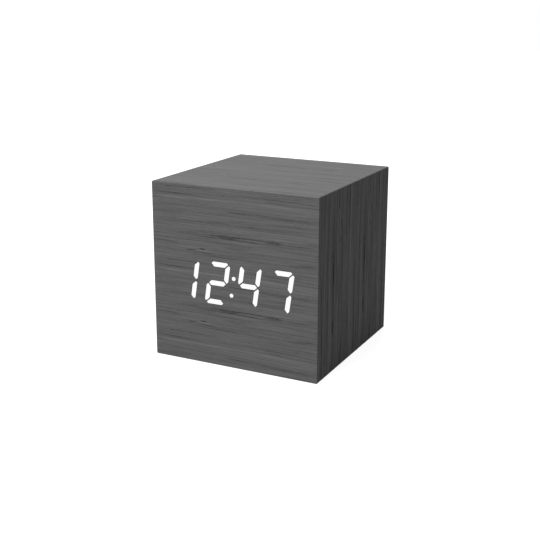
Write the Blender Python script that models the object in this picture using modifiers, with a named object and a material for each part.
"""Cube alarm clock in wood-print film, with a segment display, three buttons and a battery compartment.

Metres, +Z up. The origin is at the middle of the base, and the display faces -Y.
"""

import math

import bmesh
import bpy
from mathutils import Matrix, Vector

# Case
CASE_WIDTH = 0.062
CASE_DEPTH = 0.062
CASE_HEIGHT = 0.062
FILM_THICKNESS = 0.0005
BOARD_THICKNESS = 0.003
FRONT_BOARD_THICKNESS = 0.003
BACK_BOARD_THICKNESS = 0.003
BACK_RECESS = 0.0006
EDGE_ROUNDING = 0.0004
FACE_ROUNDING = 0.0002

# Gaps between pieces
GLUE_GAP = 0.0001
PANEL_GAP = 0.0002
SEAT_GAP = 0.0003
RUNNING_GAP = 0.0001
OVERRUN = 0.001

# Display
DISPLAY_DROP = 0.00178
DISPLAY_SIDE_GAP = 0.00117
CELL_HEIGHT = 0.01317
SEGMENT_THICKNESS = 0.00168
SEGMENT_TIP_SHIFT = 0.0003
WINDOW_STRIP = 0.00015
SLANT_SHARE = 0.15
MINUTE_TENS_RISE = 0.00046
COLON_RADIUS = 0.00072
COLON_STRIP_WIDTH = 0.00226
COLON_UPPER_RISE = 0.00238
COLON_LOWER_DROP = 0.00355
LENS_CLEARANCE = 0.00015
LENS_INSET = 0.00002
LENS_WEB = 0.0004
LENS_BOSS = 0.001
LENS_BORDER = 0.00055
MASK_RIM = 0.0008
MASK_DEPTH = 0.0055
MASK_SIDE = 0.002
MASK_TOP = 0.0036
CAVITY_TAPER_SHARE = 0.85
LED_LENGTH = 0.001
LED_WIDTH = 0.0005
LED_HEIGHT = 0.0005

# Circuit boards and what they carry
PCB_THICKNESS = 0.0012
MAIN_BOARD_SIDE_GAP = 0.0044
MAIN_BOARD_TOP_GAP = 0.0084
MAIN_BOARD_BASE_GAP = 0.0037
CHIP_HEIGHT = 0.0062
CHIP_THICKNESS = 0.0015
CHIP_SIDE_SHARE = 0.272
CHIP_RISE_SHARE = 0.6875
CHIP_LEGS = 8
CHIP_LEG_PITCH = 0.00125
CHIP_LEG_WIDTH = 0.0004
CHIP_LEG_REACH = 0.001
CRYSTAL_RADIUS = 0.001
CRYSTAL_LENGTH = 0.006
CRYSTAL_SIDE_SHARE = 0.2935
CRYSTAL_RISE_SHARE = 0.344
BUZZER_RADIUS = 0.0045
BUZZER_HEIGHT = 0.004
BUZZER_HOLE = 0.001
BUZZER_SIDE_SHARE = -0.2935
BUZZER_RISE_SHARE = 0.6875
SPACER_RADIUS = 0.0022
SPACER_SIDE_SHARE = 0.424
SPACER_RISE_SHARE = 0.344

# Buttons and their switches
BUTTON_RADIUS = 0.0023
BUTTON_PROUD = 0.0008
BUTTON_DOME = 0.0003
BUTTON_FLANGE_RADIUS = 0.0033
BUTTON_FLANGE = 0.0008
BUTTON_TRAVEL = 0.0004
BUTTON_PITCH = 0.010
BUTTON_RISE_SHARE = 0.78125
SWITCH_SIZE = 0.006
SWITCH_HEIGHT = 0.0034
PLUNGER_RADIUS = 0.0017
PLUNGER_STANDOUT = 0.001
PLUNGER_DEPTH = 0.0006

# Power inlet
JACK_WIDTH = 0.0075
JACK_HEIGHT = 0.0068
JACK_NOSE_RADIUS = 0.0029
JACK_BORE_RADIUS = 0.0018
JACK_BORE_DEPTH = 0.006
JACK_PIN_RADIUS = 0.0006
JACK_PIN_INSET = 0.001
JACK_INSET = 0.0002
JACK_RISE_SHARE = 0.1875

# Cells and battery compartment: at this case's width the cells are as long as AAA cells
CELL_RADIUS = 0.00525
CELL_END_SPACE = 0.0055
CELL_DOOR_GAP = 0.00035
CELL_GAP = 0.0006
CELL_NUB_RADIUS = 0.0019
CELL_NUB_HEIGHT = 0.0009
CELL_SHOULDER = 0.0005
CELL_COUNT = 3
TROUGH_GAP = 0.00025
BOX_WALL = 0.0011
BOX_FLANGE = 0.0012
BOX_FLANGE_SIDE = 0.001
BOX_POCKET = 0.0022
CONTACT_THICKNESS = 0.0004
CONTACT_WIDTH = 0.009
CONTACT_HEIGHT = 0.0091
CONTACT_TAB_WIDTH = 0.002
CONTACT_TAB_STANDOUT = 0.0012
DIMPLE_RADIUS = 0.0013
DIMPLE_HEIGHT = 0.0003
SPRING_WIRE = 0.0006
SPRING_CURLS = 3
SPRING_CURL_POINTS = 10
SPRING_BASE_RADIUS = 0.0036
SPRING_TIP_RADIUS = 0.0022
LEDGE_WIDTH = 0.001
LEDGE_HEIGHT = 0.001
LEDGE_LENGTH = 0.009

# Battery door
DOOR_RECESS = 0.0003
DOOR_THICKNESS = 0.0014
PIVOT_RADIUS = 0.0005
PIVOT_LENGTH = 0.0007
LATCH_WIDTH = 0.010
LATCH_THICKNESS = 0.0007
LATCH_BEND = 0.00075
LATCH_RISE = 0.0006
DOOR_RIB_HEIGHT = 0.0004
DOOR_RIB_WIDTH = 0.001
DOOR_RIB_INSET = 0.0127
GRIP_GROOVES = 3
GRIP_GROOVE_WIDTH = 0.0006
GRIP_GROOVE_PITCH = 0.0014
GRIP_GROOVE_DEPTH = 0.0003

# Screws
SCREW_RADIUS = 0.00095
SCREW_HEAD_RADIUS = 0.0017
SCREW_HEAD = 0.001
SCREW_TIP = 0.0008
SCREW_CROSS_LENGTH = 0.0018
SCREW_CROSS_WIDTH = 0.0005
SCREW_CROSS_DEPTH = 0.0005
DISPLAY_SCREW_END_GAP = 0.0005
BOARD_SCREW_END_GAP = 0.0012
BOX_SCREW_END_GAP = 0.0006
BOX_SCREW_INSET = 0.0091

# Cable and leads
CABLE_WIDTH = 0.010
CABLE_THICKNESS = 0.0008
CABLE_SAG_SHARE = 0.63
CABLE_DROP = 0.0055
CABLE_STEPS = 20
LEAD_RADIUS = 0.0006
LEAD_RISE = 0.012
LEAD_RUN = 0.012
LEAD_SIDE_SHARE = 0.435
LEAD_END_SHARE = 0.172
LEAD_STEPS = 14

# Facets
ROUND_STEPS = 24
FINE_STEPS = 16
SCREW_STEPS = 12
CORNER_STEPS = 3
TROUGH_STEPS = 8
SHARP_ANGLE = math.radians(40)
MERGE_DISTANCE = 0.00001

# Digits with their lit segments, as a clock reading 12:47, and how far each sits above the display's middle.
# The buttons run from left to right.
DIGITS = (
    ("hour_tens", "bc", 0),
    ("hour_units", "abdeg", 0),
    ("minute_tens", "bcfg", MINUTE_TENS_RISE),
    ("minute_units", "abc", 0),
)
DIGIT_COUNT = len(DIGITS)
BUTTONS = ("set", "up", "down")

# Places worked out from the sizes above
FRONT_Y = -CASE_DEPTH / 2
BACK_Y = CASE_DEPTH / 2
FRONT_FILM_Y = FRONT_Y + FILM_THICKNESS
FRONT_BOARD_Y = FRONT_FILM_Y + GLUE_GAP
FRONT_BOARD_BACK_Y = FRONT_BOARD_Y + FRONT_BOARD_THICKNESS
PANEL_Y = BACK_Y - BACK_RECESS
BACK_BOARD_Y = PANEL_Y - FILM_THICKNESS - GLUE_GAP
BACK_BOARD_FRONT_Y = BACK_BOARD_Y - BACK_BOARD_THICKNESS
SKIN = FILM_THICKNESS + GLUE_GAP
WALL = SKIN + BOARD_THICKNESS
INNER_X = CASE_WIDTH / 2 - WALL
FLOOR_Z = WALL
CEILING_Z = CASE_HEIGHT - WALL

# The display, whose digits share out the width between the side boards
DISPLAY_Z = CASE_HEIGHT / 2 - DISPLAY_DROP
MITRE_GAP = WINDOW_STRIP + 2 * LENS_CLEARANCE
LENS_HALF_HEIGHT = (CELL_HEIGHT + SEGMENT_THICKNESS) / 2 + LENS_BORDER
DISPLAY_MARGIN = DISPLAY_SIDE_GAP + MASK_SIDE + MASK_RIM + SLANT_SHARE * LENS_HALF_HEIGHT
COLON_HALF_SPACE = COLON_STRIP_WIDTH / 2 + PANEL_GAP
DIGIT_PITCH = (INNER_X - DISPLAY_MARGIN + COLON_HALF_SPACE) * 2 / DIGIT_COUNT
LENS_HALF_WIDTH = DIGIT_PITCH / 2 - COLON_HALF_SPACE
CELL_WIDTH = (LENS_HALF_WIDTH - LENS_BORDER) * 2 - SEGMENT_THICKNESS
WEB_Y = FRONT_FILM_Y + PANEL_GAP
MASK_Y = WEB_Y + LENS_WEB + PANEL_GAP
MASK_BACK_Y = MASK_Y + MASK_DEPTH
MASK_FLANGE_Y = FRONT_BOARD_BACK_Y + SEAT_GAP
DISPLAY_HALF_WIDTH = DIGIT_PITCH * (DIGIT_COUNT - 1) / 2 + LENS_HALF_WIDTH + SLANT_SHARE * LENS_HALF_HEIGHT
NOSE_HALF_WIDTH = DISPLAY_HALF_WIDTH + MASK_RIM
NOSE_HALF_HEIGHT = LENS_HALF_HEIGHT + MASK_RIM
PLATE_HALF_WIDTH = NOSE_HALF_WIDTH + MASK_SIDE
PLATE_HALF_HEIGHT = NOSE_HALF_HEIGHT + MASK_TOP
DISPLAY_BOARD_Y = MASK_BACK_Y + PANEL_GAP
DISPLAY_BOARD_BACK_Y = DISPLAY_BOARD_Y + PCB_THICKNESS
DISPLAY_SCREW_X = NOSE_HALF_WIDTH - SCREW_HEAD_RADIUS
DISPLAY_SCREW_RISE = NOSE_HALF_HEIGHT + MASK_TOP / 2
DISPLAY_SCREW_SEAT_Y = DISPLAY_BOARD_BACK_Y + RUNNING_GAP
DISPLAY_SCREW_TIP_Y = FRONT_BOARD_Y + DISPLAY_SCREW_END_GAP

# Depths of the buttons, their switches and the main board
BUTTON_FLANGE_Y = BACK_BOARD_FRONT_Y - SEAT_GAP
PLUNGER_TOP_Y = BUTTON_FLANGE_Y - BUTTON_FLANGE - PANEL_GAP
SWITCH_TOP_Y = PLUNGER_TOP_Y - PLUNGER_STANDOUT
SWITCH_BASE_Y = SWITCH_TOP_Y - SWITCH_HEIGHT
MAIN_BOARD_BACK_Y = SWITCH_BASE_Y - PANEL_GAP
MAIN_BOARD_Y = MAIN_BOARD_BACK_Y - PCB_THICKNESS
BOARD_SCREW_SEAT_Y = MAIN_BOARD_Y - RUNNING_GAP
BOARD_SCREW_TIP_Y = BACK_BOARD_Y - BOARD_SCREW_END_GAP

# The battery box, which lies between the side boards, and the cells in it
DOOR_TOP_Z = DOOR_RECESS + DOOR_THICKNESS
CELL_PITCH = CELL_RADIUS * 2 + CELL_GAP
CELL_AXIS_Z = DOOR_TOP_Z + DOOR_RIB_HEIGHT + CELL_DOOR_GAP + CELL_RADIUS
TROUGH_RADIUS = CELL_RADIUS + TROUGH_GAP
BOX_FLANGE_HALF_X = INNER_X - SEAT_GAP
BOX_HALF_X = BOX_FLANGE_HALF_X - BOX_FLANGE_SIDE
CAVITY_HALF_X = BOX_HALF_X - BOX_WALL
CAVITY_HALF_Y = CELL_PITCH * (CELL_COUNT - 1) / 2 + TROUGH_RADIUS
CELL_LENGTH = CAVITY_HALF_X * 2 - CELL_END_SPACE
BOX_HALF_Y = CAVITY_HALF_Y + BOX_WALL
BOX_TOP_Z = CELL_AXIS_Z + TROUGH_RADIUS + BOX_WALL
BOX_FLANGE_Z = FLOOR_Z + SEAT_GAP
BOX_SCREW_X = BOX_FLANGE_HALF_X - BOX_SCREW_INSET
BOX_SCREW_Y = BOX_HALF_Y + SEAT_GAP + SCREW_HEAD_RADIUS
BOX_SCREW_SEAT_Z = BOX_FLANGE_Z + BOX_FLANGE + RUNNING_GAP
BOX_SCREW_TIP_Z = SKIN + BOX_SCREW_END_GAP
BOX_FLANGE_HALF_Y = BOX_SCREW_Y + SCREW_HEAD_RADIUS + SEAT_GAP
CONTACT_FACE_X = CAVITY_HALF_X - PANEL_GAP - CONTACT_THICKNESS
CONTACT_LOW_Z = CELL_AXIS_Z - CONTACT_HEIGHT / 2
CONTACT_TOP_Z = CONTACT_LOW_Z + CONTACT_HEIGHT
POCKET_TOP_Z = CONTACT_TOP_Z + SEAT_GAP
BOX_END_TOP_Z = POCKET_TOP_Z + BOX_WALL
TAB_TOP_Z = BOX_END_TOP_Z + CONTACT_TAB_STANDOUT

# The door
DOOR_HALF_X = CAVITY_HALF_X - SEAT_GAP
DOOR_HALF_Y = CAVITY_HALF_Y - SEAT_GAP
PIVOT_Y = -(DOOR_HALF_Y - DOOR_THICKNESS / 2)
PIVOT_Z = DOOR_RECESS + DOOR_THICKNESS / 2
LATCH_Y = DOOR_HALF_Y - LATCH_BEND - LATCH_THICKNESS / 2
NOTCH_Y = LATCH_Y - LATCH_BEND + LATCH_THICKNESS / 2
LATCH_TURN_Z = DOOR_TOP_Z + LATCH_RISE
DOOR_RIB_X = DOOR_HALF_X - DOOR_RIB_INSET

# The main board, between the battery box and the top, and the places on it
MAIN_BOARD_WIDTH = (INNER_X - MAIN_BOARD_SIDE_GAP) * 2
MAIN_BOARD_BASE_Z = BOX_TOP_Z + MAIN_BOARD_BASE_GAP
MAIN_BOARD_HEIGHT = CEILING_Z - MAIN_BOARD_TOP_GAP - MAIN_BOARD_BASE_Z
CHIP_WIDTH = CHIP_LEGS * CHIP_LEG_PITCH + CHIP_LEG_WIDTH
CHIP_X = MAIN_BOARD_WIDTH * CHIP_SIDE_SHARE
CHIP_Z = MAIN_BOARD_BASE_Z + MAIN_BOARD_HEIGHT * CHIP_RISE_SHARE
CRYSTAL_X = MAIN_BOARD_WIDTH * CRYSTAL_SIDE_SHARE
CRYSTAL_Z = MAIN_BOARD_BASE_Z + MAIN_BOARD_HEIGHT * CRYSTAL_RISE_SHARE
BUZZER_X = MAIN_BOARD_WIDTH * BUZZER_SIDE_SHARE
BUZZER_Z = MAIN_BOARD_BASE_Z + MAIN_BOARD_HEIGHT * BUZZER_RISE_SHARE
SPACER_X = MAIN_BOARD_WIDTH * SPACER_SIDE_SHARE
SPACER_Z = MAIN_BOARD_BASE_Z + MAIN_BOARD_HEIGHT * SPACER_RISE_SHARE
BUTTON_Z = MAIN_BOARD_BASE_Z + MAIN_BOARD_HEIGHT * BUTTON_RISE_SHARE
JACK_Z = MAIN_BOARD_BASE_Z + MAIN_BOARD_HEIGHT * JACK_RISE_SHARE
LEAD_X = MAIN_BOARD_WIDTH * LEAD_SIDE_SHARE
LEAD_Z = MAIN_BOARD_BASE_Z + MAIN_BOARD_HEIGHT * LEAD_END_SHARE
CABLE_Z = DISPLAY_Z - CABLE_DROP
CABLE_SAG = (CABLE_Z - BOX_TOP_Z) * CABLE_SAG_SHARE

MATERIALS = {
    "wood_film": ((0.115, 0.115, 0.117, 1), 0.55, 0),
    "fibreboard": ((0.07, 0.06, 0.05, 1), 0.85, 0),
    "black_plastic": ((0.02, 0.02, 0.021, 1), 0.45, 0),
    "lit_lens": ((0.9, 0.9, 0.9, 1), 0.35, 0),
    "circuit_board": ((0.02, 0.09, 0.04, 1), 0.4, 0),
    "spacer_nylon": ((0.75, 0.74, 0.7, 1), 0.5, 0),
    "steel": ((0.62, 0.62, 0.63, 1), 0.3, 1),
    "nickel": ((0.7, 0.68, 0.62, 1), 0.25, 1),
    "cell_jacket": ((0.05, 0.12, 0.3, 1), 0.35, 0),
    "red_wire": ((0.5, 0.02, 0.015, 1), 0.5, 0),
    "black_wire": ((0.015, 0.015, 0.015, 1), 0.5, 0),
    "ribbon_grey": ((0.45, 0.45, 0.46, 1), 0.5, 0),
}

AXIS_TURNS = {
    "X": Matrix(((0, 0, 1), (1, 0, 0), (0, 1, 0))).to_4x4(),
    "Y": Matrix.Rotation(math.radians(-90), 4, "X"),
    "Z": Matrix.Identity(4),
}
PLANE_TURNS = {
    "XZ": Matrix.Rotation(math.radians(90), 4, "X"),
    "YZ": Matrix(((0, 0, 1), (1, 0, 0), (0, 1, 0))).to_4x4(),
    "XY": Matrix.Identity(4),
}
PLANE_NORMALS = {"XZ": Vector((0, 1, 0)), "YZ": Vector((1, 0, 0)), "XY": Vector((0, 0, 1))}


def start_scene():
    """Empties the file and makes the collections for the parts and for the cutters."""
    for item in list(bpy.data.objects):
        bpy.data.objects.remove(item)
    collections = []
    for name in ("alarm_clock", "cutters"):
        collection = bpy.data.collections.new(name)
        bpy.context.scene.collection.children.link(collection)
        collections.append(collection)
    return collections


PARTS, CUTTERS = start_scene()


def make_material(name):
    colour, roughness, metallic = MATERIALS[name]
    material = bpy.data.materials.new(name)
    material.use_nodes = True
    shader = material.node_tree.nodes["Principled BSDF"]
    shader.inputs["Base Color"].default_value = colour
    shader.inputs["Roughness"].default_value = roughness
    shader.inputs["Metallic"].default_value = metallic
    material.diffuse_color = colour
    return material


def finish(item, material):
    """Gives a part its own copy of a material and smooth shading on its round faces."""
    item.data.materials.clear()
    item.data.materials.append(make_material(material))
    if item.type == "MESH":
        item.data.shade_smooth()
        item.data.set_sharp_from_angle(angle=SHARP_ANGLE)
    return item


def place(name, mesh, location):
    item = bpy.data.objects.new(name, mesh)
    item.location = location
    PARTS.objects.link(item)
    return item


def mesh_of(bm, name):
    mesh = bpy.data.meshes.new(name)
    bm.to_mesh(mesh)
    bm.free()
    return mesh


def box(name, low, high):
    """A box between two corners, with its origin in its middle."""
    low, high = Vector(low), Vector(high)
    bm = bmesh.new()
    bmesh.ops.create_cube(bm, size=1)
    bmesh.ops.scale(bm, vec=high - low, verts=bm.verts)
    return place(name, mesh_of(bm, name), (low + high) / 2)


def rod(name, radius, start, length, axis, steps=ROUND_STEPS):
    """A cylinder from its start along an axis, with its origin at the start."""
    bm = bmesh.new()
    bmesh.ops.create_cone(
        bm, cap_ends=True, segments=steps, radius1=radius, radius2=radius, depth=length
    )
    bmesh.ops.translate(bm, vec=(0, 0, length / 2), verts=bm.verts)
    bmesh.ops.transform(bm, matrix=AXIS_TURNS[axis], verts=bm.verts)
    return place(name, mesh_of(bm, name), start)


def baked(item):
    """Replaces an object by the plain mesh that its curve or modifiers give."""
    bpy.context.view_layer.update()
    evaluated = item.evaluated_get(bpy.context.evaluated_depsgraph_get())
    mesh = bpy.data.meshes.new_from_object(evaluated)
    bm = bmesh.new()
    bm.from_mesh(mesh)
    bmesh.ops.remove_doubles(bm, verts=bm.verts, dist=MERGE_DISTANCE)
    bmesh.ops.recalc_face_normals(bm, faces=bm.faces)
    bm.to_mesh(mesh)
    bm.free()
    name, matrix = item.name, item.matrix_world.copy()
    bpy.data.objects.remove(item)
    solid = place(name, mesh, (0, 0, 0))
    solid.matrix_world = matrix
    return solid


def plate(name, outlines, plane, low, high):
    """Flat outlines in one plane, made as thick as the stretch from low to high along its normal."""
    curve = bpy.data.curves.new(name, "CURVE")
    curve.dimensions = "2D"
    curve.fill_mode = "BOTH"
    curve.extrude = (high - low) / 2
    for outline in outlines:
        spline = curve.splines.new("POLY")
        spline.points.add(len(outline) - 1)
        for point, (across, up) in zip(spline.points, outline):
            point.co = (across, up, 0, 1)
        spline.use_cyclic_u = True
    item = bpy.data.objects.new(name, curve)
    PARTS.objects.link(item)
    solid = baked(item)
    solid.data.transform(PLANE_TURNS[plane])
    solid.location = PLANE_NORMALS[plane] * (low + high) / 2
    return solid


def turned(name, profile, location, axis, steps=ROUND_STEPS):
    """A turned piece: (radius, height) points run from its top down its outer side to its base."""
    bm = bmesh.new()
    points = [bm.verts.new((radius, 0, height)) for radius, height in profile]
    for first, second in zip(points, points[1:]):
        bm.edges.new((first, second))
    item = place(name, mesh_of(bm, name), location)
    item.rotation_euler = AXIS_TURNS[axis].to_euler()
    screw = item.modifiers.new("turn", "SCREW")
    screw.steps = steps
    screw.render_steps = steps
    screw.use_merge_vertices = True
    screw.merge_threshold = MERGE_DISTANCE
    screw.use_smooth_shade = True
    return item


def tube(name, points, radius, resolution):
    """A round wire along points."""
    curve = bpy.data.curves.new(name, "CURVE")
    curve.dimensions = "3D"
    curve.bevel_depth = radius
    curve.bevel_resolution = resolution
    curve.use_fill_caps = True
    spline = curve.splines.new("POLY")
    spline.points.add(len(points) - 1)
    for target, point in zip(spline.points, points):
        target.co = (*point, 1)
    item = bpy.data.objects.new(name, curve)
    PARTS.objects.link(item)
    return item


def combine(item, other, operation):
    """Cuts a piece with another, or joins the other to it, and files the other with the cutters."""
    boolean = item.modifiers.new(operation.lower(), "BOOLEAN")
    boolean.operation = operation
    boolean.solver = "EXACT"
    boolean.object = other
    if other.name in PARTS.objects:
        PARTS.objects.unlink(other)
        CUTTERS.objects.link(other)
        other.hide_render = True
        other.display_type = "WIRE"


def cut(item, *others):
    for other in others:
        combine(item, other, "DIFFERENCE")


def join(item, *others):
    for other in others:
        combine(item, other, "UNION")


def circle(centre, radius, steps=ROUND_STEPS):
    """Points round a circle in a plane."""
    turn = 2 * math.pi / steps
    return [
        (centre[0] + radius * math.cos(turn * step), centre[1] + radius * math.sin(turn * step))
        for step in range(steps)
    ]


def pilot_outlines(centres):
    """Screw holes in a plane."""
    return [circle(centre, SCREW_RADIUS + RUNNING_GAP, FINE_STEPS) for centre in centres]


def rectangle(half_width, low, high):
    return [(-half_width, low), (half_width, low), (half_width, high), (-half_width, high)]


def rounded_rectangle(half_width, low, high, radius):
    """A rectangle about the line x = 0 with rounded corners."""
    points = []
    corners = ((1, low, 270), (1, high, 0), (-1, high, 90), (-1, low, 180))
    for side, level, start in corners:
        centre_x = side * (half_width - radius)
        centre_z = level + radius if level == low else level - radius
        for step in range(CORNER_STEPS + 1):
            angle = math.radians(start + 90 * step / CORNER_STEPS)
            points.append((centre_x + radius * math.cos(angle), centre_z + radius * math.sin(angle)))
    return points


def round_face_edges(item, face_y, offset):
    """Rounds the edges that lie in the plane y = face_y of a plate's mesh."""
    bm = bmesh.new()
    bm.from_mesh(item.data)
    level = face_y - item.location.y
    rim = [
        edge
        for edge in bm.edges
        if all(abs(vert.co.y - level) < MERGE_DISTANCE for vert in edge.verts)
        and len(edge.link_faces) == 2
        and edge.calc_face_angle() > SHARP_ANGLE
    ]
    bmesh.ops.bevel(bm, geom=rim, offset=offset, segments=2, profile=0.5, affect="EDGES")
    bm.to_mesh(item.data)
    bm.free()


# Segments of the display


def hexagon(start, stop, line, side, shift, half):
    """A segment along its line: its tips are shifted outwards, and its ends are cut at 45 degrees."""
    outer, inner = half - shift, half + shift
    return [
        (start, line + side * shift),
        (start + outer, line + side * half),
        (stop - outer, line + side * half),
        (stop, line + side * shift),
        (stop - inner, line - side * half),
        (start + inner, line - side * half),
    ]


def segment_outline(letter, grow):
    """One segment's corners about its digit's middle, grown on all sides, before the slant."""
    half = SEGMENT_THICKNESS / 2 + grow
    reach = grow * math.sqrt(2)
    wide, high = CELL_WIDTH / 2, CELL_HEIGHT / 2
    corner_inset = MITRE_GAP / math.sqrt(2) - SEGMENT_TIP_SHIFT
    middle_inset = MITRE_GAP * math.sqrt(2) - SEGMENT_TIP_SHIFT
    if letter == "g":
        return hexagon(-wide - reach, wide + reach, 0, 1, 0, half)
    if letter in "ad":
        side = 1 if letter == "a" else -1
        end = wide - corner_inset + reach
        return hexagon(-end, end, side * high, side, SEGMENT_TIP_SHIFT, half)
    side = 1 if letter in "bc" else -1
    start, stop = middle_inset - reach, high - corner_inset + reach
    if letter in "ce":
        start, stop = -stop, -start
    upright = hexagon(start, stop, side * wide, side, SEGMENT_TIP_SHIFT, half)
    return [(across, up) for up, across in upright]


def slanted(points, digit_x, rise=0):
    """Leans points about the display's middle line and moves them to their digit and height."""
    return [(digit_x + across + SLANT_SHARE * up, DISPLAY_Z + rise + up) for across, up in points]


def digit_x(index):
    return DIGIT_PITCH * (index - (DIGIT_COUNT - 1) / 2)


def digit_outlines(index, letters, grow=0):
    _, _, rise = DIGITS[index]
    return [slanted(segment_outline(letter, grow), digit_x(index), rise) for letter in letters]


def colon_centres():
    return slanted([(0, COLON_UPPER_RISE), (0, -COLON_LOWER_DROP)], 0)


def colon_outlines(grow=0):
    return [circle(centre, COLON_RADIUS + grow, FINE_STEPS) for centre in colon_centres()]


def centre_of(outline):
    return [sum(values) / len(outline) for values in zip(*outline)]


# Case


def make_front_film():
    film = plate(
        "front_film",
        [rounded_rectangle(CASE_WIDTH / 2, 0, CASE_HEIGHT, EDGE_ROUNDING)],
        "XZ",
        FRONT_Y,
        FRONT_FILM_Y,
    )
    round_face_edges(film, FRONT_Y, FACE_ROUNDING)
    windows = colon_outlines(LENS_CLEARANCE)
    for index, (_, letters, _) in enumerate(DIGITS):
        windows += digit_outlines(index, letters, LENS_CLEARANCE)
    cut(film, plate("film_windows", windows, "XZ", FRONT_Y - OVERRUN, FRONT_FILM_Y + OVERRUN))
    finish(film, "wood_film")


def make_front_board():
    board = box(
        "front_board",
        (-CASE_WIDTH / 2 + SKIN, FRONT_BOARD_Y, SKIN),
        (CASE_WIDTH / 2 - SKIN, FRONT_BOARD_BACK_Y, CASE_HEIGHT - SKIN),
    )
    half_width = NOSE_HALF_WIDTH + SEAT_GAP
    half_height = NOSE_HALF_HEIGHT + SEAT_GAP
    window = box(
        "display_window",
        (-half_width, FRONT_BOARD_Y - OVERRUN, DISPLAY_Z - half_height),
        (half_width, FRONT_BOARD_BACK_Y + OVERRUN, DISPLAY_Z + half_height),
    )
    pilots = plate(
        "front_board_pilots",
        pilot_outlines(display_screw_places()),
        "XZ",
        DISPLAY_SCREW_TIP_Y - RUNNING_GAP,
        FRONT_BOARD_BACK_Y + OVERRUN,
    )
    cut(board, window, pilots)
    finish(board, "fibreboard")


def make_wrap_film():
    outer = rounded_rectangle(CASE_WIDTH / 2, 0, CASE_HEIGHT, EDGE_ROUNDING)
    inner = rectangle(CASE_WIDTH / 2 - FILM_THICKNESS, FILM_THICKNESS, CASE_HEIGHT - FILM_THICKNESS)
    film = plate("wrap_film", [outer, inner], "XZ", FRONT_FILM_Y + GLUE_GAP, BACK_Y)
    cut(film, base_opening("film_opening"))
    finish(film, "wood_film")


def base_opening(name):
    """A cutter for the hole in the base that the battery box looks out of."""
    half_x, half_y = BOX_HALF_X + PANEL_GAP, BOX_HALF_Y + PANEL_GAP
    return box(name, (-half_x, -half_y, -OVERRUN), (half_x, half_y, FLOOR_Z + OVERRUN))


def sleeve_outline(side):
    """The mitred section of one board of the sleeve."""
    outer_x, inner_x = CASE_WIDTH / 2 - SKIN, INNER_X
    middle = CASE_HEIGHT / 2
    outer_z, inner_z = middle - SKIN, middle - FLOOR_Z
    if side in ("top", "bottom"):
        sign = 1 if side == "top" else -1
        outer, inner = outer_x - GLUE_GAP, inner_x - GLUE_GAP
        section = [(-outer, outer_z), (outer, outer_z), (inner, inner_z), (-inner, inner_z)]
        return [(across, middle + sign * up) for across, up in section]
    sign = 1 if side == "right" else -1
    outer, inner = outer_z - GLUE_GAP, inner_z - GLUE_GAP
    section = [(outer_x, -outer), (outer_x, outer), (inner_x, inner), (inner_x, -inner)]
    return [(sign * across, middle + up) for across, up in section]


def make_sleeve():
    start = FRONT_BOARD_BACK_Y + GLUE_GAP
    for side in ("top", "bottom", "left", "right"):
        board = plate(side + "_board", [sleeve_outline(side)], "XZ", start, BACK_Y)
        if side == "bottom":
            pilots = plate(
                "bottom_board_pilots",
                pilot_outlines(box_screw_places()),
                "XY",
                BOX_SCREW_TIP_Z - RUNNING_GAP,
                FLOOR_Z + OVERRUN,
            )
            cut(board, base_opening("board_opening"), pilots)
        finish(board, "fibreboard")


def back_openings(name, low, high):
    """A cutter for the button and inlet holes in the back."""
    holes = [circle((x, BUTTON_Z), BUTTON_RADIUS + PANEL_GAP) for x in button_places()]
    holes.append(circle((0, JACK_Z), JACK_NOSE_RADIUS + PANEL_GAP))
    return plate(name, holes, "XZ", low, high)


def make_back():
    half_width = INNER_X - PANEL_GAP
    low, high = FLOOR_Z + PANEL_GAP, CEILING_Z - PANEL_GAP
    film = plate("back_film", [rectangle(half_width, low, high)], "XZ", PANEL_Y - FILM_THICKNESS, PANEL_Y)
    cut(film, back_openings("back_film_holes", BACK_BOARD_Y, PANEL_Y + OVERRUN))
    finish(film, "wood_film")
    board = plate("back_board", [rectangle(half_width, low, high)], "XZ", BACK_BOARD_FRONT_Y, BACK_BOARD_Y)
    pilots = plate(
        "back_board_pilots",
        pilot_outlines(board_screw_places()),
        "XZ",
        BACK_BOARD_FRONT_Y - OVERRUN,
        BOARD_SCREW_TIP_Y + RUNNING_GAP,
    )
    cut(board, back_openings("back_board_holes", BACK_BOARD_FRONT_Y - OVERRUN, PANEL_Y), pilots)
    finish(board, "fibreboard")


# Display


def display_screw_places():
    return [(x, DISPLAY_Z + z) for x in (-DISPLAY_SCREW_X, DISPLAY_SCREW_X)
            for z in (-DISPLAY_SCREW_RISE, DISPLAY_SCREW_RISE)]


def make_lens(name, web, lit, all_marks):
    """A light guide: marks that stand through the film, a web, and bosses that enter the mask."""
    lens = plate(name, [web], "XZ", WEB_Y, WEB_Y + LENS_WEB)
    middle = WEB_Y + LENS_WEB / 2
    marks = plate(name + "_marks", lit, "XZ", FRONT_Y + LENS_INSET, middle)
    bosses = plate(name + "_bosses", all_marks, "XZ", middle, WEB_Y + LENS_WEB + LENS_BOSS)
    join(lens, marks, bosses)
    finish(lens, "lit_lens")


def make_lenses():
    web = rectangle(LENS_HALF_WIDTH, -LENS_HALF_HEIGHT, LENS_HALF_HEIGHT)
    for index, (name, letters, _) in enumerate(DIGITS):
        bosses = digit_outlines(index, "abcdefg", -PANEL_GAP)
        make_lens(name + "_lens", slanted(web, digit_x(index)), digit_outlines(index, letters), bosses)
    strip = rectangle(COLON_STRIP_WIDTH / 2, -LENS_HALF_HEIGHT, LENS_HALF_HEIGHT)
    make_lens("colon_lens", slanted(strip, 0), colon_outlines(), colon_outlines(-PANEL_GAP))


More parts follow.
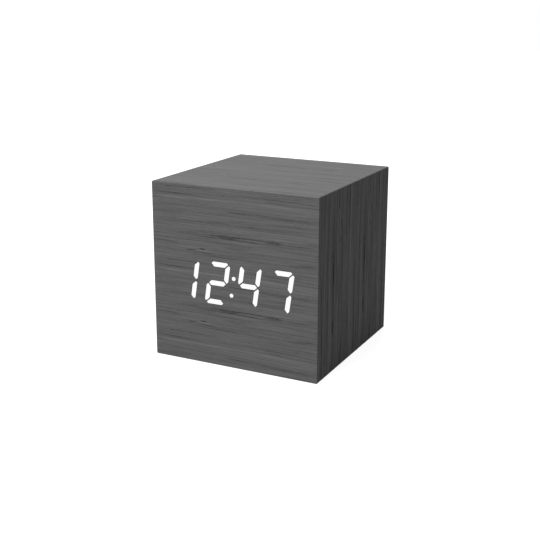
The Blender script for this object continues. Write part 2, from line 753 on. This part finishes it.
def light_cavities():
    """Cutters for the mask: one well behind each segment and dot, narrower at the lamps."""
    outlines = colon_outlines()
    for index in range(len(DIGITS)):
        outlines += digit_outlines(index, "abcdefg")
    low, high = MASK_Y - OVERRUN, MASK_BACK_Y + OVERRUN
    wells = []
    for outline in outlines:
        well = plate("light_well", [outline], "XZ", low, high)
        centre_x, centre_z = centre_of(outline)
        for vertex in well.data.vertices:
            if vertex.co.y > 0:
                vertex.co.x = centre_x + (vertex.co.x - centre_x) * CAVITY_TAPER_SHARE
                vertex.co.z = centre_z + (vertex.co.z - centre_z) * CAVITY_TAPER_SHARE
        wells.append(well)
    return merged("light_wells", wells)


def merged(name, items):
    """One object that holds several solids that don't meet."""
    bm = bmesh.new()
    for item in items:
        mesh = item.data.copy()
        mesh.transform(Matrix.Translation(item.location))
        bm.from_mesh(mesh)
        bpy.data.objects.remove(item)
    return place(name, mesh_of(bm, name), (0, 0, 0))


def make_mask():
    mask = box(
        "segment_mask",
        (-PLATE_HALF_WIDTH, MASK_FLANGE_Y, DISPLAY_Z - PLATE_HALF_HEIGHT),
        (PLATE_HALF_WIDTH, MASK_BACK_Y, DISPLAY_Z + PLATE_HALF_HEIGHT),
    )
    nose = box(
        "mask_nose",
        (-NOSE_HALF_WIDTH, MASK_Y, DISPLAY_Z - NOSE_HALF_HEIGHT),
        (NOSE_HALF_WIDTH, (MASK_FLANGE_Y + MASK_BACK_Y) / 2, DISPLAY_Z + NOSE_HALF_HEIGHT),
    )
    join(mask, nose)
    cut(mask, light_cavities(), display_screw_holes("mask_holes", MASK_Y, MASK_BACK_Y + OVERRUN))
    finish(mask, "black_plastic")


def display_screw_holes(name, low, high):
    return plate(name, pilot_outlines(display_screw_places()), "XZ", low, high)


def make_display_board():
    board = box(
        "display_board",
        (-PLATE_HALF_WIDTH, DISPLAY_BOARD_Y, DISPLAY_Z - PLATE_HALF_HEIGHT),
        (PLATE_HALF_WIDTH, DISPLAY_BOARD_BACK_Y, DISPLAY_Z + PLATE_HALF_HEIGHT),
    )
    centres = colon_centres()
    for index in range(len(DIGITS)):
        centres += [centre_of(outline) for outline in digit_outlines(index, "abcdefg")]
    low, high = DISPLAY_BOARD_Y - LED_HEIGHT, DISPLAY_BOARD_Y + PCB_THICKNESS / 2
    half_x, half_z = LED_LENGTH / 2, LED_WIDTH / 2
    lamps = [box("lamp", (x - half_x, low, z - half_z), (x + half_x, high, z + half_z)) for x, z in centres]
    join(board, merged("lamps", lamps))
    cut(board, display_screw_holes("display_board_holes", MASK_BACK_Y, DISPLAY_BOARD_BACK_Y + OVERRUN))
    finish(board, "circuit_board")


# Screws


def screw_mesh(length):
    """A pan-head screw with its seat at the origin and its tip along -Z."""
    profile = [
        (0, SCREW_HEAD),
        (SCREW_HEAD_RADIUS - SCREW_HEAD / 2, SCREW_HEAD),
        (SCREW_HEAD_RADIUS, SCREW_HEAD / 2),
        (SCREW_HEAD_RADIUS, 0),
        (SCREW_RADIUS, 0),
        (SCREW_RADIUS, SCREW_TIP - length),
        (0, -length),
    ]
    screw = turned("screw", profile, (0, 0, 0), "Z", SCREW_STEPS)
    reach, half = SCREW_CROSS_LENGTH / 2, SCREW_CROSS_WIDTH / 2
    low, high = SCREW_HEAD - SCREW_CROSS_DEPTH, SCREW_HEAD + OVERRUN
    slots = [
        box("slot", (-reach, -half, low), (reach, half, high)),
        box("cross_slot", (-half, -reach, low), (half, reach, high)),
    ]
    cut(screw, *slots)
    screw = baked(screw)
    mesh = screw.data
    for item in (screw, *slots):
        bpy.data.objects.remove(item)
    return mesh


def place_screws(name, length, places, turn):
    """Screws that share one mesh, numbered in the order of their places."""
    mesh = screw_mesh(length)
    for number, location in enumerate(places, 1):
        screw = place(f"{name}_{number}", mesh, location)
        screw.rotation_euler = turn
    finish(screw, "steel")


def board_screw_places():
    return [(-SPACER_X, SPACER_Z), (SPACER_X, SPACER_Z)]


def box_screw_places():
    return [(x, y) for x in (-BOX_SCREW_X, BOX_SCREW_X) for y in (-BOX_SCREW_Y, BOX_SCREW_Y)]


def make_screws():
    seats = [(x, DISPLAY_SCREW_SEAT_Y, z) for x, z in display_screw_places()]
    length = DISPLAY_SCREW_SEAT_Y - DISPLAY_SCREW_TIP_Y
    place_screws("display_screw", length, seats, (math.radians(-90), 0, 0))
    seats = [(x, BOARD_SCREW_SEAT_Y, z) for x, z in board_screw_places()]
    length = BOARD_SCREW_TIP_Y - BOARD_SCREW_SEAT_Y
    place_screws("board_screw", length, seats, (math.radians(90), 0, 0))
    seats = [(x, y, BOX_SCREW_SEAT_Z) for x, y in box_screw_places()]
    place_screws("battery_box_screw", BOX_SCREW_SEAT_Z - BOX_SCREW_TIP_Z, seats, (0, 0, 0))


# Main board


def make_main_board():
    holes = pilot_outlines(board_screw_places())
    outline = rectangle(MAIN_BOARD_WIDTH / 2, MAIN_BOARD_BASE_Z, MAIN_BOARD_BASE_Z + MAIN_BOARD_HEIGHT)
    board = plate("main_board", [outline, *holes], "XZ", MAIN_BOARD_Y, MAIN_BOARD_BACK_Y)
    finish(board, "circuit_board")
    start = MAIN_BOARD_BACK_Y + RUNNING_GAP
    for number, (x, z) in enumerate(board_screw_places(), 1):
        rings = [circle((x, z), radius, FINE_STEPS) for radius in (SPACER_RADIUS, SCREW_RADIUS + RUNNING_GAP)]
        spacer = plate(f"board_spacer_{number}", rings, "XZ", start, BACK_BOARD_FRONT_Y - RUNNING_GAP)
        finish(spacer, "spacer_nylon")


def make_chip():
    seat = MAIN_BOARD_Y - RUNNING_GAP
    chip = box(
        "clock_chip",
        (CHIP_X - CHIP_WIDTH / 2, seat - CHIP_THICKNESS, CHIP_Z - CHIP_HEIGHT / 2),
        (CHIP_X + CHIP_WIDTH / 2, seat - CHIP_LEG_WIDTH, CHIP_Z + CHIP_HEIGHT / 2),
    )
    reach = CHIP_HEIGHT / 2 + CHIP_LEG_REACH
    legs = []
    for leg in range(CHIP_LEGS):
        x = CHIP_X + CHIP_LEG_PITCH * (leg - (CHIP_LEGS - 1) / 2)
        low = (x - CHIP_LEG_WIDTH / 2, seat - CHIP_LEG_WIDTH * 2, CHIP_Z - reach)
        legs.append(box("leg", low, (x + CHIP_LEG_WIDTH / 2, seat, CHIP_Z + reach)))
    join(chip, merged("chip_legs", legs))
    finish(chip, "black_plastic")


def make_crystal():
    centre_y = MAIN_BOARD_Y - PANEL_GAP - CRYSTAL_RADIUS
    start = (CRYSTAL_X, centre_y, CRYSTAL_Z - CRYSTAL_LENGTH / 2)
    finish(rod("quartz_crystal", CRYSTAL_RADIUS, start, CRYSTAL_LENGTH, "Z", FINE_STEPS), "steel")


def make_buzzer():
    seat = MAIN_BOARD_Y - PANEL_GAP
    profile = [
        (0, BUZZER_HEIGHT - BUZZER_HOLE),
        (BUZZER_HOLE, BUZZER_HEIGHT - BUZZER_HOLE),
        (BUZZER_HOLE, BUZZER_HEIGHT),
        (BUZZER_RADIUS, BUZZER_HEIGHT),
        (BUZZER_RADIUS, 0),
        (0, 0),
    ]
    buzzer = turned("buzzer", profile, (BUZZER_X, seat, BUZZER_Z), "Z")
    buzzer.rotation_euler = (math.radians(90), 0, 0)
    finish(buzzer, "black_plastic")


# Buttons, switches and inlet


def button_places():
    return [BUTTON_PITCH * (index - (len(BUTTONS) - 1) / 2) for index in range(len(BUTTONS))]


def make_buttons():
    head = BACK_Y + BUTTON_PROUD - BUTTON_FLANGE_Y
    button_profile = [
        (0, head),
        (BUTTON_RADIUS - BUTTON_DOME * 2, head),
        (BUTTON_RADIUS - BUTTON_DOME / 2, head - BUTTON_DOME / 2),
        (BUTTON_RADIUS, head - BUTTON_DOME * 2),
        (BUTTON_RADIUS, 0),
        (BUTTON_FLANGE_RADIUS, 0),
        (BUTTON_FLANGE_RADIUS, -BUTTON_FLANGE),
        (0, -BUTTON_FLANGE),
    ]
    plunger_profile = [
        (0, PLUNGER_STANDOUT),
        (PLUNGER_RADIUS, PLUNGER_STANDOUT),
        (PLUNGER_RADIUS, -PLUNGER_DEPTH),
        (0, -PLUNGER_DEPTH),
    ]
    for name, x in zip(BUTTONS, button_places()):
        button = turned(name + "_button", button_profile, (x, BUTTON_FLANGE_Y, BUTTON_Z), "Y")
        finish(button, "black_plastic")
        plunger = turned(name + "_plunger", plunger_profile, (x, SWITCH_TOP_Y, BUTTON_Z), "Y", FINE_STEPS)
        finish(plunger, "black_plastic")
        half = SWITCH_SIZE / 2
        switch = box(
            name + "_switch",
            (x - half, SWITCH_BASE_Y, BUTTON_Z - half),
            (x + half, SWITCH_TOP_Y, BUTTON_Z + half),
        )
        depth = PLUNGER_DEPTH + BUTTON_TRAVEL + RUNNING_GAP
        start = (x, SWITCH_TOP_Y - depth, BUTTON_Z)
        well_radius = PLUNGER_RADIUS + RUNNING_GAP
        cut(switch, rod(name + "_well", well_radius, start, depth + OVERRUN, "Y", FINE_STEPS))
        finish(switch, "steel")


def make_jack():
    top = PANEL_Y - JACK_INSET
    nose_start = BACK_BOARD_FRONT_Y - SEAT_GAP
    jack = box(
        "power_jack",
        (-JACK_WIDTH / 2, MAIN_BOARD_BACK_Y + PANEL_GAP, JACK_Z - JACK_HEIGHT / 2),
        (JACK_WIDTH / 2, nose_start, JACK_Z + JACK_HEIGHT / 2),
    )
    start = (0, nose_start - OVERRUN, JACK_Z)
    join(jack, rod("jack_nose", JACK_NOSE_RADIUS, start, top - nose_start + OVERRUN, "Y"))
    socket_profile = [
        (0, OVERRUN),
        (JACK_BORE_RADIUS, OVERRUN),
        (JACK_BORE_RADIUS, -JACK_BORE_DEPTH),
        (JACK_PIN_RADIUS, -JACK_BORE_DEPTH),
        (JACK_PIN_RADIUS, -JACK_PIN_INSET),
        (0, -JACK_PIN_INSET),
    ]
    cut(jack, turned("jack_socket", socket_profile, (0, top, JACK_Z), "Y", FINE_STEPS))
    finish(jack, "black_plastic")


# Battery compartment


def cell_places():
    return [CELL_PITCH * (index - (CELL_COUNT - 1) / 2) for index in range(CELL_COUNT)]


def trough_outline(radius, half_y, low):
    """The section across the cells: straight sides below their axes and an arch over each."""
    meeting = math.acos(min(1, CELL_PITCH / 2 / radius))
    points = [(half_y, low)]
    for index, centre in enumerate(reversed(cell_places())):
        start = 0 if index == 0 else meeting
        stop = math.pi if index == CELL_COUNT - 1 else math.pi - meeting
        for step in range(TROUGH_STEPS + 1):
            angle = start + (stop - start) * step / TROUGH_STEPS
            points.append((centre + radius * math.cos(angle), CELL_AXIS_Z + radius * math.sin(angle)))
    points.append((-half_y, low))
    return unrepeated(points)


def unrepeated(points):
    """Leaves out a point that falls on the one before it."""
    kept = []
    for point in points:
        if not kept or math.dist(kept[-1], point) > MERGE_DISTANCE:
            kept.append(point)
    return kept


def make_battery_box():
    shell_radius = TROUGH_RADIUS + BOX_WALL
    shell = trough_outline(shell_radius, BOX_HALF_Y, DOOR_RECESS)
    case = plate("battery_box", [shell], "YZ", -BOX_HALF_X, BOX_HALF_X)
    join(case, box(
        "box_flange",
        (-BOX_FLANGE_HALF_X, -BOX_FLANGE_HALF_Y, BOX_FLANGE_Z),
        (BOX_FLANGE_HALF_X, BOX_FLANGE_HALF_Y, BOX_FLANGE_Z + BOX_FLANGE),
    ))
    pocket_x = CAVITY_HALF_X - BOX_POCKET
    for side, name in ((-1, "left"), (1, "right")):
        near, far = sorted((side * (pocket_x - BOX_WALL), side * BOX_HALF_X))
        join(case, box(name + "_end", (near, -BOX_HALF_Y, BOX_FLANGE_Z), (far, BOX_HALF_Y, BOX_END_TOP_Z)))
    cavity = trough_outline(TROUGH_RADIUS, CAVITY_HALF_Y, -OVERRUN)
    cut(case, plate("cell_cavity", [cavity], "YZ", -CAVITY_HALF_X, CAVITY_HALF_X))
    for side, name in ((-1, "left"), (1, "right")):
        near, far = sorted((side * pocket_x, side * CAVITY_HALF_X))
        low = (near, -CAVITY_HALF_Y, BOX_FLANGE_Z)
        cut(case, box(name + "_pocket", low, (far, CAVITY_HALF_Y, POCKET_TOP_Z)))
    slots = []
    for side, y in ((cell_sides()[0], cell_places()[0]), (-cell_sides()[-1], cell_places()[-1])):
        centre_x = side * (CONTACT_FACE_X + CONTACT_THICKNESS / 2)
        half_x = CONTACT_THICKNESS / 2 + RUNNING_GAP
        half_y = CONTACT_TAB_WIDTH / 2 + PANEL_GAP
        low = (centre_x - half_x, y - half_y, POCKET_TOP_Z - RUNNING_GAP)
        slots.append(box("slot", low, (centre_x + half_x, y + half_y, BOX_END_TOP_Z + OVERRUN)))
    cut(case, merged("tab_slots", slots))
    holes = pilot_outlines(box_screw_places())
    cut(case, plate("flange_holes", holes, "XY", BOX_FLANGE_Z - OVERRUN, BOX_FLANGE_Z + BOX_FLANGE + OVERRUN))
    start = (-BOX_HALF_X - OVERRUN, PIVOT_Y, PIVOT_Z)
    length = BOX_HALF_X * 2 + OVERRUN * 2
    cut(case, rod("pivot_holes", PIVOT_RADIUS + RUNNING_GAP, start, length, "X", FINE_STEPS))
    ledge_z = DOOR_TOP_Z + SEAT_GAP
    for side, name in ((-1, "left"), (1, "right")):
        near, far = sorted((side * LATCH_WIDTH, side * (LATCH_WIDTH + LEDGE_LENGTH)))
        low = (near, CAVITY_HALF_Y - LEDGE_WIDTH, ledge_z)
        high = (far, CAVITY_HALF_Y + BOX_WALL / 2, ledge_z + LEDGE_HEIGHT)
        join(case, box(name + "_ledge", low, high))
    finish(case, "black_plastic")


def contact_outline(width, centre, tab):
    """A contact plate's outline, with or without its solder tab."""
    low, high = centre - width / 2, centre + width / 2
    points = [(low, CONTACT_LOW_Z), (high, CONTACT_LOW_Z), (high, CONTACT_TOP_Z)]
    if tab:
        half = CONTACT_TAB_WIDTH / 2
        points += [(centre + half, CONTACT_TOP_Z), (centre + half, TAB_TOP_Z)]
        points += [(centre - half, TAB_TOP_Z), (centre - half, CONTACT_TOP_Z)]
    points.append((low, CONTACT_TOP_Z))
    return points


def make_contact(name, side, centre, width, tab, dimple_y):
    """A sprung plate at one end of the box; a dimple meets a cell's positive nub."""
    near, far = sorted((side * CONTACT_FACE_X, side * (CONTACT_FACE_X + CONTACT_THICKNESS)))
    contact = plate(name, [contact_outline(width, centre, tab)], "YZ", near, far)
    if dimple_y is not None:
        start_x = CONTACT_FACE_X - DIMPLE_HEIGHT
        length = DIMPLE_HEIGHT + CONTACT_THICKNESS / 2
        start = (start_x if side > 0 else -start_x - length, dimple_y, CELL_AXIS_Z)
        join(contact, rod(name + "_dimple", DIMPLE_RADIUS, start, length, "X", FINE_STEPS))
    finish(contact, "nickel")


def make_contacts():
    """Plates at the ends of the cells: the outer two carry the leads, and the others link two cells."""
    places, sides = cell_places(), cell_sides()
    make_contact("positive_contact", sides[0], places[0], CONTACT_WIDTH, True, places[0])
    make_contact("negative_contact", -sides[-1], places[-1], CONTACT_WIDTH, True, None)
    for index, (first, second) in enumerate(zip(places, places[1:]), 1):
        centre, width = (first + second) / 2, second - first + CONTACT_WIDTH
        make_contact(f"link_contact_{index}", sides[index], centre, width, False, second)


def cell_sides():
    """The end of the box, +1 or -1 along X, that each cell's positive nub faces."""
    return [1 if index % 2 == 0 else -1 for index in range(CELL_COUNT)]


def nub_x():
    return CONTACT_FACE_X - DIMPLE_HEIGHT - PANEL_GAP


def make_cells():
    profile = [
        (0, 0),
        (CELL_NUB_RADIUS, 0),
        (CELL_NUB_RADIUS, -CELL_NUB_HEIGHT),
        (CELL_RADIUS - CELL_SHOULDER, -CELL_NUB_HEIGHT),
        (CELL_RADIUS, -CELL_NUB_HEIGHT - CELL_SHOULDER),
        (CELL_RADIUS, CELL_SHOULDER / 2 - CELL_LENGTH),
        (CELL_RADIUS - CELL_SHOULDER, -CELL_LENGTH),
        (0, -CELL_LENGTH),
    ]
    for index, (side, y) in enumerate(zip(cell_sides(), cell_places()), 1):
        cell = turned(f"battery_{index}", profile, (side * nub_x(), y, CELL_AXIS_Z), "Z")
        cell.rotation_euler = (0, side * math.radians(90), 0)
        finish(cell, "cell_jacket")


def spring_points(side, y):
    """A cone of open curls from a contact plate to the flat end of a cell."""
    start = CONTACT_FACE_X - RUNNING_GAP - SPRING_WIRE / 2
    stop = CELL_LENGTH - nub_x() + RUNNING_GAP + SPRING_WIRE / 2
    count = SPRING_CURLS * SPRING_CURL_POINTS
    points = []
    for step in range(count + 1):
        share = step / count
        angle = 2 * math.pi * SPRING_CURLS * share
        radius = SPRING_BASE_RADIUS + (SPRING_TIP_RADIUS - SPRING_BASE_RADIUS) * share
        x = start + (stop - start) * share
        points.append((side * x, y + radius * math.cos(angle), CELL_AXIS_Z + radius * math.sin(angle)))
    return points


def least_self_gap(points):
    """The least gap between one curl and the next, measured between the wire's points."""
    apart = SPRING_CURL_POINTS // 2
    pairs = [
        math.dist(first, second)
        for index, first in enumerate(points)
        for second in points[index + apart:]
    ]
    return min(pairs) - SPRING_WIRE


def make_springs():
    for index, (side, y) in enumerate(zip(cell_sides(), cell_places()), 1):
        points = spring_points(-side, y)
        spring = tube(f"battery_spring_{index}", points, SPRING_WIRE / 2, 1)
        finish(spring, "steel")
        print(f"least gap between curls of battery_spring_{index}: {least_self_gap(points):.6f} m")


def latch_outline():
    """The sprung latch from the side: up from the door, over in a bend and down to a thumb tab."""
    half = LATCH_THICKNESS / 2
    inner, outer = LATCH_BEND - half, LATCH_BEND + half
    points = [(LATCH_Y - outer, PIVOT_Z)]
    for step in range(TROUGH_STEPS + 1):
        angle = math.pi * (1 - step / TROUGH_STEPS)
        points.append((LATCH_Y + outer * math.cos(angle), LATCH_TURN_Z + outer * math.sin(angle)))
    points += [(LATCH_Y + outer, DOOR_RECESS), (LATCH_Y + inner, DOOR_RECESS)]
    for step in range(TROUGH_STEPS + 1):
        angle = math.pi * step / TROUGH_STEPS
        points.append((LATCH_Y + inner * math.cos(angle), LATCH_TURN_Z + inner * math.sin(angle)))
    points.append((LATCH_Y - inner, PIVOT_Z))
    return points


def door_outline():
    """The door from the side: a plate with a half-round edge about its pivot."""
    radius = DOOR_THICKNESS / 2
    points = [(DOOR_HALF_Y, DOOR_RECESS), (DOOR_HALF_Y, DOOR_TOP_Z)]
    for step in range(TROUGH_STEPS + 1):
        angle = math.pi / 2 + math.pi * step / TROUGH_STEPS
        points.append((PIVOT_Y + radius * math.cos(angle), PIVOT_Z + radius * math.sin(angle)))
    return points


def make_battery_door():
    door = plate("battery_door", [door_outline()], "YZ", -DOOR_HALF_X, DOOR_HALF_X)
    half_notch = LATCH_WIDTH / 2 + SEAT_GAP
    low = (-half_notch, NOTCH_Y, DOOR_RECESS - OVERRUN)
    cut(door, box("latch_notch", low, (half_notch, DOOR_HALF_Y + OVERRUN, DOOR_TOP_Z + OVERRUN)))
    join(door, plate("latch", [latch_outline()], "YZ", -LATCH_WIDTH / 2, LATCH_WIDTH / 2))
    reach = DOOR_HALF_X + SEAT_GAP + PIVOT_LENGTH
    join(door, rod("pivot_pins", PIVOT_RADIUS, (-reach, PIVOT_Y, PIVOT_Z), reach * 2, "X", FINE_STEPS))
    ribs = []
    for side in (-1, 1):
        x = side * DOOR_RIB_X
        low = (x - DOOR_RIB_WIDTH / 2, PIVOT_Y + DOOR_THICKNESS, PIVOT_Z)
        high = (x + DOOR_RIB_WIDTH / 2, LATCH_Y - LATCH_BEND, DOOR_TOP_Z + DOOR_RIB_HEIGHT)
        ribs.append(box("rib", low, high))
    join(door, merged("door_ribs", ribs))
    grooves = []
    for index in range(GRIP_GROOVES):
        y = NOTCH_Y - GRIP_GROOVE_PITCH * (index + 1)
        low = (-LATCH_WIDTH / 2, y - GRIP_GROOVE_WIDTH / 2, DOOR_RECESS - OVERRUN)
        high = (LATCH_WIDTH / 2, y + GRIP_GROOVE_WIDTH / 2, DOOR_RECESS + GRIP_GROOVE_DEPTH)
        grooves.append(box("groove", low, high))
    cut(door, merged("grip_grooves", grooves))
    door = baked_at(door, (0, PIVOT_Y, PIVOT_Z))
    finish(door, "black_plastic")


def baked_at(item, origin):
    """The plain mesh of a piece with its origin moved onto its joint's axis."""
    solid = baked(item)
    solid.data.transform(solid.matrix_world)
    solid.data.transform(Matrix.Translation(-Vector(origin)))
    solid.matrix_world = Matrix.Translation(origin)
    return solid


# Cable and leads


def make_display_cable():
    start, stop = DISPLAY_BOARD_BACK_Y + SEAT_GAP, MAIN_BOARD_Y - SEAT_GAP
    path = []
    for step in range(CABLE_STEPS + 1):
        share = step / CABLE_STEPS
        sag = CABLE_SAG * math.sin(math.pi * share) ** 2
        path.append(Vector((start + (stop - start) * share, CABLE_Z - sag)))
    upper, lower = [], []
    for index, point in enumerate(path):
        ahead, behind = path[min(index + 1, CABLE_STEPS)], path[max(index - 1, 0)]
        along = (ahead - behind).normalized()
        if index in (0, CABLE_STEPS):
            along = Vector((1, 0))
        across = Vector((-along.y, along.x)) * CABLE_THICKNESS / 2
        upper.append(tuple(point + across))
        lower.append(tuple(point - across))
    cable = plate("display_cable", [lower + upper[::-1]], "YZ", -CABLE_WIDTH / 2, CABLE_WIDTH / 2)
    finish(cable, "ribbon_grey")


def lead_points(side, y):
    """A lead's smooth run from its solder tab up, back and into the main board."""
    start = Vector((side * (CONTACT_FACE_X + CONTACT_THICKNESS / 2), y, TAB_TOP_Z + SEAT_GAP))
    stop = Vector((side * LEAD_X, MAIN_BOARD_Y - SEAT_GAP, LEAD_Z))
    rising = start + Vector((0, 0, LEAD_RISE))
    arriving = stop - Vector((0, LEAD_RUN, 0))
    points = []
    for step in range(LEAD_STEPS + 1):
        t = step / LEAD_STEPS
        weights = ((1 - t) ** 3, 3 * t * (1 - t) ** 2, 3 * t ** 2 * (1 - t), t ** 3)
        points.append(sum((w * p for w, p in zip(weights, (start, rising, arriving, stop))), Vector()))
    return points


def make_leads():
    places, sides = cell_places(), cell_sides()
    finish(tube("red_lead", lead_points(sides[0], places[0]), LEAD_RADIUS, 2), "red_wire")
    finish(tube("black_lead", lead_points(-sides[-1], places[-1]), LEAD_RADIUS, 2), "black_wire")


def main():
    make_front_film()
    make_front_board()
    make_wrap_film()
    make_sleeve()
    make_back()
    make_lenses()
    make_mask()
    make_display_board()
    make_screws()
    make_main_board()
    make_chip()
    make_crystal()
    make_buzzer()
    make_buttons()
    make_jack()
    make_battery_box()
    make_contacts()
    make_cells()
    make_springs()
    make_battery_door()
    make_display_cable()
    make_leads()


main()
